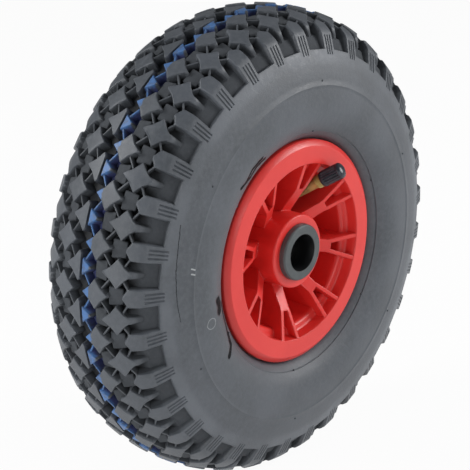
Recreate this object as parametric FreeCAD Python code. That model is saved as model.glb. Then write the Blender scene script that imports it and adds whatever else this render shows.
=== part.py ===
import FreeCAD
import Part
import math
import os
from FreeCAD import Vector

# Pneumatic wheel for a hand truck: tyre, inner tube, one-piece moulded rim, bent valve and roller bearing.
# The axle lies along Y, the wheel's centre is the origin and Z is up. The valve side faces -Y.
# All sizes are in millimetres and all angles in degrees, unless a name says otherwise.

# Tyre
TYRE_DIAMETER = 260.0
TYRE_WIDTH = 85.0
CROWN_ARC = 75.0
CROWN_HALF_WIDTH = 17.0
SHOULDER_END = 65.0
WIDEST_SHARE = 0.38
TREAD_DEPTH = 6.0
TREAD_PITCHES = 33
TREAD_PHASE = 7.8
CROWN_WALL = 4.0
SHOULDER_WALL = 5.8
BEAD_WALL = 5.0
BEAD_WIDTH = 6.8
BEAD_HEIGHT = 2.5
BEAD_TOE = 0.6
FOOT_HEIGHT = 11.4
FOOT_LEAN = 0.4
FOOT_FLARE = 2.8
CROWN_THINNING = 1.0
SHOULDER_MIDDLE = math.radians(40.0)
LOWER_WALL_SHARE = 0.695

# Tread blocks, placed by their arc length from the parting line
CENTRE_DIAMOND = (0.0, 8.4, 7.8)
INNER_DIAMOND = (11.0, 7.7, 7.8)
OUTER_DIAMOND = (22.3, 8.1, 7.6)
LUG_TIP = 24.7
LUG_START = 27.6
LUG_HALF_WIDTH = 4.6
GROOVE_END = 31.0
POCKET_START = 36.0
POCKET_END = 43.4
POCKET_DEPTH = 2.2
POCKET_WALL = 0.2
LUG_TUCK = 0.6
LUG_CHORDS = 4
WALL_CHORDS = 3
GROOVE_STATIONS = (0.0, CROWN_HALF_WIDTH, GROOVE_END)
LEDGE_DEPTH = 3.0
BLOCK_ROOT = 1.0
BAND_TUCK = 1.0

# Rim
RIM_HALF_WIDTH = 37.4
WELL_RADIUS = 46.8
WELL_SLOPE_WIDTH = 8.0
SEAT_HEIGHT = 4.0
SEAT_WIDTH = 9.2
FLANGE_WALL = 6.2
FLANGE_HEIGHT = 10.8
LIP_SETBACK = 2.5
LIP_BEVEL = 0.8
BEVEL_SETBACK = 1.6
FACE_BEVEL = 3.1
COUNTERBORE_DEPTH = 6.4
COUNTERBORE_DRAFT = 0.5
LEDGE_WIDTH = 1.9
LEDGE_RISE = 0.8
BARREL_WALL = 2.8
BARREL_ROUNDING = 2.6
BARREL_DRAFT = 1.5
WEB_THICKNESS = 4.0
HUB_RADIUS = 20.4
HUB_DRAFT = 0.6
HUB_SETBACK = 3.4
HUB_EDGE = 0.6
SPOKES = 8
SPOKE_PHASE = 34.5
SPOKE_TIP_HALF = 7.9
SPOKE_NECK_RADIUS = 32.0
SPOKE_NECK_HALF = 3.5
SPOKE_ROOT_HALF = 4.2
SPOKE_WALL = 2.25
SPOKE_TIP_TUCK = 0.5
SPOKE_ROOT_TUCK = 1.4
SPOKE_CREST_MIDDLE = (34.0, 31.0)
SPOKE_CREST_ROOT = (20.5, 22.5)

# Bearing and its bushes, for an axle of 20 mm
AXLE_RADIUS = 10.0
ROLLER_RADIUS = 2.2
ROLLER_EDGE = 0.3
ROLLERS = 8
AXLE_PLAY = 0.1
ROLLER_PLAY = 0.05
SLEEVE_WALL = 1.05
CAGE_INNER_RADIUS = 10.9
CAGE_OUTER_RADIUS = 13.6
CAGE_END_WALL = 2.5
CAGE_END_GAP = 0.5
BUSH_PROUD = 0.1
BUSH_COLLAR_LENGTH = 7.5
BUSH_BORE_RADIUS = 10.2
SPIGOT_LENGTH = 4.0
BUSH_EDGE = 0.8

# Inner tube
TUBE_WALL = 2.0

# Valve, drawn in the plane through the axle at VALVE_ANGLE
VALVE_ANGLE = 62.0
VALVE_SETBACK = 27.6
VALVE_AIM = 4.557
ELBOW_RISE = 11.25
ELBOW_ARC = 4.5
STEM_LENGTH = 33.9
STEM_RADIUS = 3.1
THREAD_RADIUS = 3.85
THREAD_LENGTH = 14.5
STEM_FOOT_RADIUS = 6.0
STEM_FOOT_THICKNESS = 1.2
STEM_FOOT_SINK = 0.8
AIR_BORE_RADIUS = 1.3
CORE_CHAMBER_RADIUS = 2.65
CORE_CHAMBER_DEPTH = 8.5
CORE_TAIL_RADIUS = 2.05
CORE_TAIL_DEPTH = 20.0
VALVE_HOLE_RADIUS = 4.2

# Valve core, by depth below the stem's mouth
CORE_TOP = 1.0
CORE_HEAD_RADIUS = 2.6
CORE_HEAD_END = 6.5
CORE_BARREL_RADIUS = 1.85
CORE_BARREL_END = 13.0
CORE_GUIDE_END = 4.0
CORE_LOWER_GUIDE = 1.0
SPRING_CHAMBER_RADIUS = 1.5
PIN_RADIUS = 0.6
PIN_TOP = 0.4
PIN_COLLAR_RADIUS = 1.3
PIN_COLLAR_TOP = 4.9
PIN_COLLAR_THICKNESS = 0.6
PIN_HEAD_RADIUS = 1.1
PIN_HEAD_THICKNESS = 1.0
SEAL_RADIUS = 1.75
SEAL_THICKNESS = 2.2
GASKET_THICKNESS = 1.3
SPRING_WIRE_RADIUS = 0.2
SPRING_COIL_RADIUS = 1.1
SPRING_PITCH = 1.1
SPRING_STEPS = 12
SPRING_SIDES = 6

# Valve cap
CAP_RADIUS = 4.5
CAP_LENGTH = 13.8
CAP_CROWN = 1.4
CAP_DOME_RISE = 1.3
CAP_FLUTES = 14
CAP_FLUTE_RADIUS = 0.55
CAP_SEAL_THICKNESS = 1.0

# Clearances
BEAD_CLEARANCE = 0.2
TUBE_CLEARANCE = 0.3
PRESS_CLEARANCE = 0.05
RUNNING_CLEARANCE = 0.07
END_CLEARANCE = 0.1
SEAT_CLEARANCE = 0.05

# Directions
ORIGIN = Vector(0, 0, 0)
AXLE = Vector(0, 1, 0)
BEYOND = 10.0
OVERCUT = 1.0
SMALL = 1e-6
PLANE_TOLERANCE = 1e-4

# Sizes that follow from the ones above
TYRE_RADIUS = TYRE_DIAMETER / 2
HALF_TYRE = TYRE_WIDTH / 2
PITCH_ANGLE = 360.0 / TREAD_PITCHES
HALF_WEB = WEB_THICKNESS / 2
BARREL_RADIUS = WELL_RADIUS - BARREL_WALL
BARREL_FOOT_RADIUS = BARREL_RADIUS - BARREL_DRAFT
LEDGE_RADIUS = BARREL_RADIUS + BARREL_ROUNDING
COUNTERBORE_RADIUS = LEDGE_RADIUS + LEDGE_WIDTH
FACE_INNER_RADIUS = COUNTERBORE_RADIUS + COUNTERBORE_DRAFT
SEAT_RADIUS = WELL_RADIUS + SEAT_HEIGHT
FLANGE_RADIUS = SEAT_RADIUS + FLANGE_HEIGHT
BEVEL_RADIUS = FLANGE_RADIUS - LIP_BEVEL
FACE_OUTER_RADIUS = FLANGE_RADIUS - FACE_BEVEL
HUB_FOOT_RADIUS = HUB_RADIUS + HUB_DRAFT
FLANGE_INNER = RIM_HALF_WIDTH - FLANGE_WALL
SEAT_START = FLANGE_INNER - SEAT_WIDTH
WELL_HALF_WIDTH = SEAT_START - WELL_SLOPE_WIDTH
LIP_EDGE = RIM_HALF_WIDTH - LIP_SETBACK
BEVEL_EDGE = RIM_HALF_WIDTH - BEVEL_SETBACK
HUB_HALF_LENGTH = RIM_HALF_WIDTH - HUB_SETBACK
BUSH_END = RIM_HALF_WIDTH + BUSH_PROUD
SLEEVE_HALF_LENGTH = BUSH_END - BUSH_COLLAR_LENGTH
CAGE_HALF_LENGTH = SLEEVE_HALF_LENGTH - SPIGOT_LENGTH - CAGE_END_GAP
ROLLER_HALF_LENGTH = CAGE_HALF_LENGTH - CAGE_END_WALL
VALVE_OFFSET = VALVE_SETBACK - RIM_HALF_WIDTH
ELBOW_CENTRE_RADIUS = HUB_RADIUS + ELBOW_RISE
SPOKE_TIP_RADIUS = FACE_INNER_RADIUS + SPOKE_TIP_TUCK
SPOKE_ROOT_RADIUS = HUB_RADIUS - SPOKE_ROOT_TUCK
ROLLER_PITCH_RADIUS = AXLE_RADIUS + AXLE_PLAY + ROLLER_RADIUS
RACE_RADIUS = ROLLER_PITCH_RADIUS + ROLLER_RADIUS + ROLLER_PLAY
SLEEVE_RADIUS = RACE_RADIUS + SLEEVE_WALL
BEAD_RADIUS = SEAT_RADIUS + BEAD_CLEARANCE
HEEL = FLANGE_INNER - BEAD_CLEARANCE
FOOT_RADIUS = BEAD_RADIUS + FOOT_HEIGHT
WIDEST_RADIUS = SEAT_RADIUS + WIDEST_SHARE * (TYRE_RADIUS - SEAT_RADIUS)
CAP_BORE_RADIUS = THREAD_RADIUS + RUNNING_CLEARANCE
MOUTH = STEM_LENGTH


def save(shape, name):
    shape.exportStep("parts/" + name + ".step")


def turned(shape, degrees):
    """A copy turned about the axle, from +X towards +Z."""
    copy = shape.copy()
    copy.rotate(ORIGIN, AXLE, -degrees)
    return copy


def mirrored(shape):
    return shape.mirror(ORIGIN, AXLE)


def point(radius, across):
    """A point of a section, by its distance from the axle and along it."""
    return Vector(radius, across, 0)


def flipped(section_point):
    return point(section_point.x, -section_point.y)


def line(a, b):
    return Part.makeLine(a, b)


def polyline(points):
    return [line(a, b) for a, b in zip(points, points[1:])]


def face_of(edges):
    return Part.Face(Part.Wire(Part.__sortEdges__(edges)))


def ring(edges):
    return face_of(edges).revolve(ORIGIN, AXLE, 360)


def tube_along_axle(outer, inner, start, end):
    length = end - start
    body = Part.makeCylinder(outer, length, Vector(0, start, 0), AXLE)
    return body.cut(Part.makeCylinder(inner, length, Vector(0, start, 0), AXLE))


# Outline of the tyre: three tangent arcs over the tread and side wall and one down to the rim.
# Each is a centre, a radius and the two angles between its ends, measured from the crown.
# The shoulder's and the side wall's radii are those that bring the wall to its widest point.
crown_end = math.asin(CROWN_HALF_WIDTH / CROWN_ARC)
shoulder_end = math.radians(SHOULDER_END)
crown_centre = (TYRE_RADIUS - CROWN_ARC, 0.0)
wall_fall = crown_centre[0] + CROWN_ARC * math.cos(crown_end) - WIDEST_RADIUS
wall_spread = HALF_TYRE - CROWN_HALF_WIDTH
wall_slack = 1 - math.sin(shoulder_end)
fall_share = math.cos(crown_end) - math.cos(shoulder_end)
spread_share = math.sin(shoulder_end) - math.sin(crown_end)
shoulder_arc = wall_spread * math.cos(shoulder_end) - wall_fall * wall_slack
shoulder_arc /= spread_share * math.cos(shoulder_end) - fall_share * wall_slack
side_arc = (wall_spread - shoulder_arc * spread_share) / wall_slack
shoulder_centre = (
    crown_centre[0] + (CROWN_ARC - shoulder_arc) * math.cos(crown_end),
    (CROWN_ARC - shoulder_arc) * math.sin(crown_end),
)
side_centre = (WIDEST_RADIUS, HALF_TYRE - side_arc)
lower_fall = WIDEST_RADIUS - FOOT_RADIUS
lower_tuck = HALF_TYRE - HEEL - FOOT_FLARE
lower_arc = (lower_fall ** 2 + lower_tuck ** 2) / (2 * lower_tuck)
lower_centre = (WIDEST_RADIUS, HALF_TYRE - lower_arc)
foot_angle = math.pi / 2 + math.asin(lower_fall / lower_arc)
lower_middle = math.pi / 2 + LOWER_WALL_SHARE * (foot_angle - math.pi / 2)
OUTLINE = (
    (crown_centre, CROWN_ARC, 0.0, crown_end),
    (shoulder_centre, shoulder_arc, crown_end, shoulder_end),
    (side_centre, side_arc, shoulder_end, math.pi / 2),
    (lower_centre, lower_arc, math.pi / 2, foot_angle),
)


def skin(angle, depth=0.0):
    """The point of the tyre's outline at an angle, sunk by a depth."""
    for centre, arc, start, end in OUTLINE:
        if angle <= end + SMALL:
            reach = arc - depth
            return point(centre[0] + reach * math.cos(angle), centre[1] + reach * math.sin(angle))
    return None


def angle_at(length):
    """The outline's angle at an arc length from the parting line."""
    for centre, arc, start, end in OUTLINE:
        if length <= arc * (end - start) + SMALL:
            return start + length / arc
        length -= arc * (end - start)
    return None


def at(length, depth=0.0):
    return skin(angle_at(length), depth)


def skin_chords(first, last):
    """The outline of the wall between two angles, as even chords."""
    return [skin(first + (last - first) * i / WALL_CHORDS) for i in range(WALL_CHORDS + 1)]


def groove_floor(extra=0.0):
    """Bottom of the grooves and of the pockets between the lugs, on one side."""
    crown = [at(length, TREAD_DEPTH + extra) for length in GROOVE_STATIONS]
    ledge = at(POCKET_START, LEDGE_DEPTH + extra)
    return crown + [ledge, at(POCKET_END, POCKET_DEPTH + extra)]


def liner():
    """Inside of the tyre, from the crown to the bead's toe, on one side."""
    under_tread = TREAD_DEPTH + CROWN_WALL
    return [
        skin(crown_end, under_tread),
        skin(SHOULDER_MIDDLE, under_tread - CROWN_THINNING),
        skin(shoulder_end, SHOULDER_WALL),
        skin(lower_middle, BEAD_WALL),
        point(BEAD_RADIUS + BEAD_HEIGHT, HEEL - BEAD_WIDTH - BEAD_TOE),
    ]


def carcass():
    """The tyre's body: side walls, beads and the layer that the tread's band is fused to."""
    shoulder = angle_at(POCKET_END + POCKET_WALL)
    bead = [
        point(FOOT_RADIUS - FOOT_LEAN, HEEL),
        point(BEAD_RADIUS, HEEL),
        point(BEAD_RADIUS, HEEL - BEAD_WIDTH),
    ]
    wall = skin_chords(shoulder, math.pi / 2)
    wall += skin_chords(math.pi / 2, foot_angle)[1:]
    half = polyline(groove_floor(BLOCK_ROOT)[1:] + wall + bead + liner()[::-1])
    both = half + [mirrored(edge) for edge in half]
    both.append(line(at(CROWN_HALF_WIDTH, TREAD_DEPTH + BLOCK_ROOT), flipped(half[0].Vertexes[0].Point)))
    both.append(line(liner()[0], flipped(liner()[0])))
    return ring(both)


def around(section_point, degrees):
    turn = math.radians(degrees)
    return Vector(section_point.x * math.cos(turn), section_point.y, section_point.x * math.sin(turn))


def polyhedron(loops):
    """A closed solid from flat faces, each given as a list of corners."""
    faces = [Part.Face(Part.makePolygon(loop + [loop[0]])) for loop in loops]
    return Part.Solid(Part.makeShell(faces))


def flat_wedge(section, angles):
    """A closed section carried round the axle in flat facets, from angle to angle."""
    slices = [[around(corner, angle) for corner in section] for angle in angles]
    loops = [slices[0], slices[-1]]
    count = len(section)
    for near, far in zip(slices, slices[1:]):
        loops += [[near[i], near[(i + 1) % count], far[(i + 1) % count], far[i]] for i in range(count)]
    return polyhedron(loops)


def band_section():
    """The layer that joins the blocks: groove floor above, buried in the carcass below."""
    top = groove_floor() + [at(POCKET_END + BAND_TUCK, POCKET_DEPTH)]
    root = groove_floor(2 * BLOCK_ROOT) + [at(POCKET_END + BAND_TUCK, POCKET_DEPTH + BLOCK_ROOT)]
    section = [flipped(corner) for corner in top[:0:-1]] + top
    return section + root[::-1] + [flipped(corner) for corner in root[1:]]


def on_tread(length, across, at_angle):
    """A point of the tread: across is counted round the tyre, from the meridian at at_angle."""
    base = at(length)
    return around(base, at_angle + math.degrees(across / base.x))


def block(halves, middle, at_angle):
    """A tread block. Each half of its top is flat, with its corners on the outline."""
    rise = angle_at(middle)
    outward = point(math.cos(rise), math.sin(rise))
    root = around(outward, at_angle) * -(TREAD_DEPTH + BLOCK_ROOT)
    loops = []
    for half in halves:
        top = [on_tread(length, across, at_angle) for length, across in half]
        loops.append(top)
        loops.append([corner + root for corner in top])
        loops += [[a, b, b + root, a + root] for a, b in zip(top, top[1:])]
    return polyhedron(loops)


def diamond(size, at_angle):
    middle, half_length, half_width = size
    tips = [(middle, -half_width), (middle, half_width)]
    ends = (middle - half_length, middle + half_length)
    halves = [[tips[0], (end, 0.0), tips[1]] for end in ends]
    return block(halves, middle, at_angle)


def lug_section():
    """Section of a shoulder lug, flush with the side wall at its lower end."""
    step = (POCKET_END + POCKET_WALL - LUG_START) / LUG_CHORDS
    top = [at(LUG_START + step * i) for i in range(LUG_CHORDS + 1)]
    top.append(at(POCKET_END + BAND_TUCK, BLOCK_ROOT))
    root = [
        at(POCKET_END + BAND_TUCK, POCKET_DEPTH),
        at(POCKET_START, LEDGE_DEPTH + BLOCK_ROOT),
        at(GROOVE_END, TREAD_DEPTH + BLOCK_ROOT),
        at(LUG_START, TREAD_DEPTH + BLOCK_ROOT),
    ]
    return top + root


def lug(at_angle):
    half_angle = math.degrees(LUG_HALF_WIDTH / at(LUG_START).x)
    body = flat_wedge(lug_section(), [at_angle - half_angle, at_angle + half_angle])
    root = LUG_START + LUG_TUCK
    ends = [(root, -LUG_HALF_WIDTH), (LUG_TIP, 0.0), (root, LUG_HALF_WIDTH)]
    return [body, block([ends + ends[:1]], LUG_START, at_angle)]


def pitch_of_tread():
    """One repeat of the tread and its band, on both sides of the parting line."""
    half = PITCH_ANGLE / 2
    pieces = [diamond(OUTER_DIAMOND, 0.0)]
    for edge in (half, -half):
        pieces += lug(edge) + [diamond(INNER_DIAMOND, edge)]
    pieces += [mirrored(piece) for piece in pieces]
    pieces.append(diamond(CENTRE_DIAMOND, 0.0))
    band = flat_wedge(band_section(), [-PITCH_ANGLE, 0.0, PITCH_ANGLE])
    right = [point(FOOT_RADIUS, HALF_TYRE + BEYOND), point(TYRE_RADIUS + BEYOND, HALF_TYRE + BEYOND)]
    corners = right + [flipped(corner) for corner in right[::-1]]
    return band.fuse(pieces).common(flat_wedge(corners, [-half, half])).removeSplitter()


def on_pitch_edge(face):
    half = PITCH_ANGLE / 2
    angles = [math.degrees(math.atan2(v.Z, v.X)) for v in face.Vertexes]
    return any(all(abs(a - edge) < PLANE_TOLERANCE for a in angles) for edge in (half, -half))


def make_tyre():
    outside = [face for face in pitch_of_tread().Faces if not on_pitch_edge(face)]
    faces = []
    for i in range(TREAD_PITCHES):
        faces += [turned(face, TREAD_PHASE + i * PITCH_ANGLE) for face in outside]
    tread = Part.makeCompound(faces)
    tread.sewShape()
    return carcass().fuse(Part.Solid(tread.Shells[0]))


def make_inner_tube():
    """The air tube: it fills the space between the tyre and the rim's well, less a clearance."""
    half = liner() + [
        point(SEAT_RADIUS, SEAT_START),
        point(WELL_RADIUS, WELL_HALF_WIDTH),
    ]
    corners = half + [flipped(corner) for corner in half[::-1]]
    space = Part.Wire(polyline(corners + [corners[0]]))
    outer = Part.Face(space.makeOffset2D(-TUBE_CLEARANCE, 2)).revolve(ORIGIN, AXLE, 360)
    inner = Part.Face(space.makeOffset2D(-TUBE_CLEARANCE - TUBE_WALL, 2)).revolve(ORIGIN, AXLE, 360)
    return outer.cut([inner, valve_rod(STEM_RADIUS, 0.0, BEYOND), stem_foot()])


def rim_outline():
    """Outside of the rim on one side, from the middle of its well to the inner edge of its face."""
    return [
        point(WELL_RADIUS, WELL_HALF_WIDTH),
        point(SEAT_RADIUS, SEAT_START),
        point(SEAT_RADIUS, FLANGE_INNER),
        point(FLANGE_RADIUS, FLANGE_INNER),
        point(FLANGE_RADIUS, LIP_EDGE),
        point(BEVEL_RADIUS, BEVEL_EDGE),
        point(FACE_OUTER_RADIUS, RIM_HALF_WIDTH),
        point(0.0, RIM_HALF_WIDTH),
    ]


def rim_blank():
    """The rim's outer shape, filled in to the axle."""
    half = polyline(rim_outline())
    both = half + [mirrored(edge) for edge in half]
    both.append(line(rim_outline()[0], flipped(rim_outline()[0])))
    both.append(line(rim_outline()[-1], flipped(rim_outline()[-1])))
    return ring(both)


def bay_ring():
    """The space between hub and barrel on one side, from the web out past the face."""
    past = RIM_HALF_WIDTH + BEYOND
    ledge = RIM_HALF_WIDTH - COUNTERBORE_DEPTH
    ledge_end = point(LEDGE_RADIUS, ledge - LEDGE_RISE)
    rounding_end = point(BARREL_RADIUS, ledge - LEDGE_RISE - BARREL_ROUNDING)
    bend = BARREL_ROUNDING * (1 - math.cos(math.pi / 4))
    rounding_middle = point(BARREL_RADIUS + bend, ledge - LEDGE_RISE - bend)
    edges = polyline([
        point(0.0, past),
        point(0.0, HUB_HALF_LENGTH),
        point(HUB_RADIUS - HUB_EDGE, HUB_HALF_LENGTH),
        point(HUB_RADIUS, HUB_HALF_LENGTH - HUB_EDGE),
        point(HUB_FOOT_RADIUS, HALF_WEB),
        point(BARREL_FOOT_RADIUS, HALF_WEB),
        rounding_end,
    ])
    edges.append(Part.Arc(rounding_end, rounding_middle, ledge_end).toShape())
    edges += polyline([
        ledge_end,
        point(COUNTERBORE_RADIUS, ledge),
        point(FACE_INNER_RADIUS, RIM_HALF_WIDTH),
        point(FACE_INNER_RADIUS, past),
        point(0.0, past),
    ])
    return ring(edges)


def prism(corners):
    """A plan, given by distance from the axle and across it, carried along the axle on one side."""
    loop = [Vector(radius, 0, across) for radius, across in corners]
    plan = Part.Face(Part.makePolygon(loop + [loop[0]]))
    return plan.extrude(AXLE * (RIM_HALF_WIDTH + BEYOND))


def spoke():
    """One V spoke: two walls that spread to the rim from a neck at the hub, hollow between them."""
    outline = [
        (SPOKE_ROOT_RADIUS, SPOKE_ROOT_HALF),
        (SPOKE_NECK_RADIUS, SPOKE_NECK_HALF),
        (SPOKE_TIP_RADIUS, SPOKE_TIP_HALF),
    ]
    pocket_start = SPOKE_CREST_MIDDLE[0]
    spread = (SPOKE_TIP_HALF - SPOKE_NECK_HALF) / (SPOKE_TIP_RADIUS - SPOKE_NECK_RADIUS)
    pocket = [
        (pocket_start, SPOKE_NECK_HALF + spread * (pocket_start - SPOKE_NECK_RADIUS) - SPOKE_WALL),
        (SPOKE_TIP_RADIUS + BEYOND, SPOKE_TIP_HALF + spread * BEYOND - SPOKE_WALL),
    ]
    plans = [
        prism(half + [(radius, -across) for radius, across in half[::-1]])
        for half in (outline, pocket)
    ]
    crest = [
        point(SPOKE_TIP_RADIUS, RIM_HALF_WIDTH),
        point(*SPOKE_CREST_MIDDLE),
        point(*SPOKE_CREST_ROOT),
        point(SPOKE_ROOT_RADIUS - BEYOND, SPOKE_CREST_ROOT[1]),
        point(SPOKE_ROOT_RADIUS - BEYOND, 0.0),
        point(SPOKE_TIP_RADIUS, 0.0),
        point(SPOKE_TIP_RADIUS, RIM_HALF_WIDTH),
    ]
    under_crest = face_of(polyline(crest)).extrude(Vector(0, 0, 2 * BEYOND))
    under_crest.translate(Vector(0, 0, -BEYOND))
    return plans[0].common(under_crest).cut(plans[1])


def make_rim():
    one = spoke()
    spokes = [turned(one, SPOKE_PHASE + i * 360.0 / SPOKES) for i in range(SPOKES)]
    bays = bay_ring().cut(spokes)
    hub_bore = Part.makeCylinder(SLEEVE_RADIUS, 2 * BUSH_END, Vector(0, -BUSH_END, 0), AXLE)
    valve_hole = valve_plane(
        Part.makeCylinder(
            VALVE_HOLE_RADIUS,
            2 * BEYOND,
            point(BARREL_FOOT_RADIUS - BEYOND / 2, VALVE_OFFSET),
            Vector(1, 0, 0),
        )
    )
    return rim_blank().cut([bays, mirrored(bays), hub_bore, valve_hole])


def make_sleeve():
    return tube_along_axle(SLEEVE_RADIUS, RACE_RADIUS, -SLEEVE_HALF_LENGTH, SLEEVE_HALF_LENGTH)


def roller_shape():
    length = 2 * ROLLER_HALF_LENGTH
    start = Vector(ROLLER_PITCH_RADIUS, -ROLLER_HALF_LENGTH, 0)
    blank = Part.makeCylinder(ROLLER_RADIUS, length, start, AXLE)
    rims = [edge for edge in blank.Edges if edge.Curve.TypeId == "Part::GeomCircle"]
    return blank.makeChamfer(ROLLER_EDGE, rims)


def make_cage():
    cage = tube_along_axle(CAGE_OUTER_RADIUS, CAGE_INNER_RADIUS, -CAGE_HALF_LENGTH, CAGE_HALF_LENGTH)
    half = ROLLER_HALF_LENGTH + END_CLEARANCE
    start = Vector(ROLLER_PITCH_RADIUS, -half, 0)
    window = Part.makeCylinder(ROLLER_RADIUS + RUNNING_CLEARANCE, 2 * half, start, AXLE)
    return cage.cut([turned(window, i * 360.0 / ROLLERS) for i in range(ROLLERS)])


def make_bush():
    """End ring of the hub on the +Y side: a collar in the rim's bore and a spigot in the sleeve."""
    outer = SLEEVE_RADIUS - PRESS_CLEARANCE
    spigot = RACE_RADIUS - PRESS_CLEARANCE
    edges = polyline([
        point(BUSH_BORE_RADIUS, SLEEVE_HALF_LENGTH - SPIGOT_LENGTH),
        point(spigot, SLEEVE_HALF_LENGTH - SPIGOT_LENGTH),
        point(spigot, SLEEVE_HALF_LENGTH),
        point(outer, SLEEVE_HALF_LENGTH),
        point(outer, BUSH_END - BUSH_EDGE),
        point(outer - BUSH_EDGE, BUSH_END),
        point(BUSH_BORE_RADIUS, BUSH_END),
        point(BUSH_BORE_RADIUS, SLEEVE_HALF_LENGTH - SPIGOT_LENGTH),
    ])
    return ring(edges)


# The stem's centre line, in the valve's plane: it leaves the barrel towards the axle and turns
# outwards at the elbow, to pass inside the barrel's edge. From there, sizes are counted along the
# long leg, up to its mouth.
lean = math.atan2(
    BARREL_RADIUS + VALVE_AIM - ELBOW_CENTRE_RADIUS,
    RIM_HALF_WIDTH + VALVE_OFFSET - ELBOW_ARC,
)
LEG = Vector(math.sin(lean), -math.cos(lean), 0)
elbow_centre = point(ELBOW_CENTRE_RADIUS, VALVE_OFFSET - ELBOW_ARC)
leg_side = Vector(-LEG.y, LEG.x, 0)
LEG_START = elbow_centre - leg_side * ELBOW_ARC


def valve_plane(shape):
    return turned(shape, VALVE_ANGLE)


def on_leg(distance):
    return LEG_START + LEG * distance


def leg_cylinder(radius, start, end):
    """A cylinder along the long leg, between two distances from the elbow."""
    return Part.makeCylinder(radius, end - start, on_leg(start), LEG)


def leg_ring(outer, inner, start, end):
    return leg_cylinder(outer, start, end).cut(leg_cylinder(inner, start, end))


def depth_cylinder(radius, top, bottom):
    """The same, by depth below the mouth."""
    return leg_cylinder(radius, MOUTH - bottom, MOUTH - top)


def depth_ring(outer, inner, top, bottom):
    return leg_ring(outer, inner, MOUTH - bottom, MOUTH - top)


def elbow(radius):
    """The bend between the two legs, as a turned round bar."""
    disc = Part.Face(Part.Wire(Part.makeCircle(radius, LEG_START, LEG)))
    return disc.revolve(elbow_centre, Vector(0, 0, 1), -90.0 - math.degrees(lean))


def valve_rod(radius, leg_length, beyond_tube):
    """A round bar along the stem's centre line, from the tube's wall to a distance up the leg."""
    foot = WELL_RADIUS + TUBE_CLEARANCE + TUBE_WALL + beyond_tube
    short_leg = Part.makeCylinder(
        radius,
        foot - ELBOW_CENTRE_RADIUS,
        point(ELBOW_CENTRE_RADIUS, VALVE_OFFSET),
        Vector(1, 0, 0),
    )
    bar = short_leg.fuse(elbow(radius))
    if leg_length > 0:
        bar = bar.fuse(leg_cylinder(radius, 0.0, leg_length))
    return valve_plane(bar)


def stem_foot():
    """The stem's round foot, sunk in the inside of the tube's wall."""
    start = point(WELL_RADIUS + TUBE_CLEARANCE + TUBE_WALL - STEM_FOOT_SINK, VALVE_OFFSET)
    return valve_plane(Part.makeCylinder(STEM_FOOT_RADIUS, STEM_FOOT_THICKNESS, start, Vector(1, 0, 0)))


def make_stem():
    thread = leg_cylinder(THREAD_RADIUS, STEM_LENGTH - THREAD_LENGTH, STEM_LENGTH)
    stem = valve_rod(STEM_RADIUS, STEM_LENGTH, 0.0).fuse([valve_plane(thread), stem_foot()])
    air = valve_rod(AIR_BORE_RADIUS, STEM_LENGTH, STEM_FOOT_THICKNESS + OVERCUT)
    chamber = depth_cylinder(CORE_CHAMBER_RADIUS, -OVERCUT, CORE_CHAMBER_DEPTH)
    tail = depth_cylinder(CORE_TAIL_RADIUS, 0.0, CORE_TAIL_DEPTH)
    return stem.cut([air, valve_plane(chamber), valve_plane(tail)])


def make_core_body():
    head = depth_cylinder(CORE_HEAD_RADIUS, CORE_TOP, CORE_HEAD_END)
    barrel = depth_cylinder(CORE_BARREL_RADIUS, CORE_HEAD_END, CORE_BARREL_END)
    guide = depth_cylinder(PIN_RADIUS + RUNNING_CLEARANCE, 0.0, CORE_BARREL_END + OVERCUT)
    chamber = depth_cylinder(SPRING_CHAMBER_RADIUS, CORE_GUIDE_END, CORE_BARREL_END - CORE_LOWER_GUIDE)
    return valve_plane(head.fuse(barrel).cut([guide, chamber]))


def make_pin():
    seal_end = CORE_BARREL_END + SEAT_CLEARANCE + SEAL_THICKNESS
    head_start = seal_end + SEAT_CLEARANCE
    head_end = head_start + PIN_HEAD_THICKNESS
    shaft = depth_cylinder(PIN_RADIUS, PIN_TOP, head_end)
    collar = depth_cylinder(PIN_COLLAR_RADIUS, PIN_COLLAR_TOP, PIN_COLLAR_TOP + PIN_COLLAR_THICKNESS)
    head = depth_cylinder(PIN_HEAD_RADIUS, head_start, head_end)
    return valve_plane(shaft.fuse([collar, head]))


def make_pin_seal():
    start = CORE_BARREL_END + SEAT_CLEARANCE
    return valve_plane(depth_ring(SEAL_RADIUS, PIN_RADIUS, start, start + SEAL_THICKNESS))


def make_gasket():
    end = CORE_CHAMBER_DEPTH
    return valve_plane(
        depth_ring(CORE_HEAD_RADIUS, CORE_BARREL_RADIUS + SEAT_CLEARANCE, end - GASKET_THICKNESS, end)
    )


def make_spring():
    """The core's spring, between the pin's collar and the lower guide: a wire of six sides."""
    top = MOUTH - (PIN_COLLAR_TOP + PIN_COLLAR_THICKNESS + SPRING_WIRE_RADIUS + SEAT_CLEARANCE)
    bottom = MOUTH - (CORE_BARREL_END - CORE_LOWER_GUIDE - SPRING_WIRE_RADIUS - SEAT_CLEARANCE)
    steps = int(SPRING_STEPS * (top - bottom) / SPRING_PITCH)
    across = Vector(0, 0, 1)
    rings = []
    for i in range(steps + 1):
        turn = 2 * math.pi * i / SPRING_STEPS
        outward = leg_side * math.cos(turn) + across * math.sin(turn)
        middle = on_leg(bottom + (top - bottom) * i / steps) + outward * SPRING_COIL_RADIUS
        corners = []
        for k in range(SPRING_SIDES):
            around_wire = 2 * math.pi * k / SPRING_SIDES
            offset = outward * math.cos(around_wire) + LEG * math.sin(around_wire)
            corners.append(middle + offset * SPRING_WIRE_RADIUS)
        rings.append(corners)
    loops = [rings[0], rings[-1]]
    for near, far in zip(rings, rings[1:]):
        for k in range(SPRING_SIDES):
            j = (k + 1) % SPRING_SIDES
            loops.append([near[k], near[j], far[j]])
            loops.append([near[k], far[j], far[k]])
    return valve_plane(polyhedron(loops))


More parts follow.
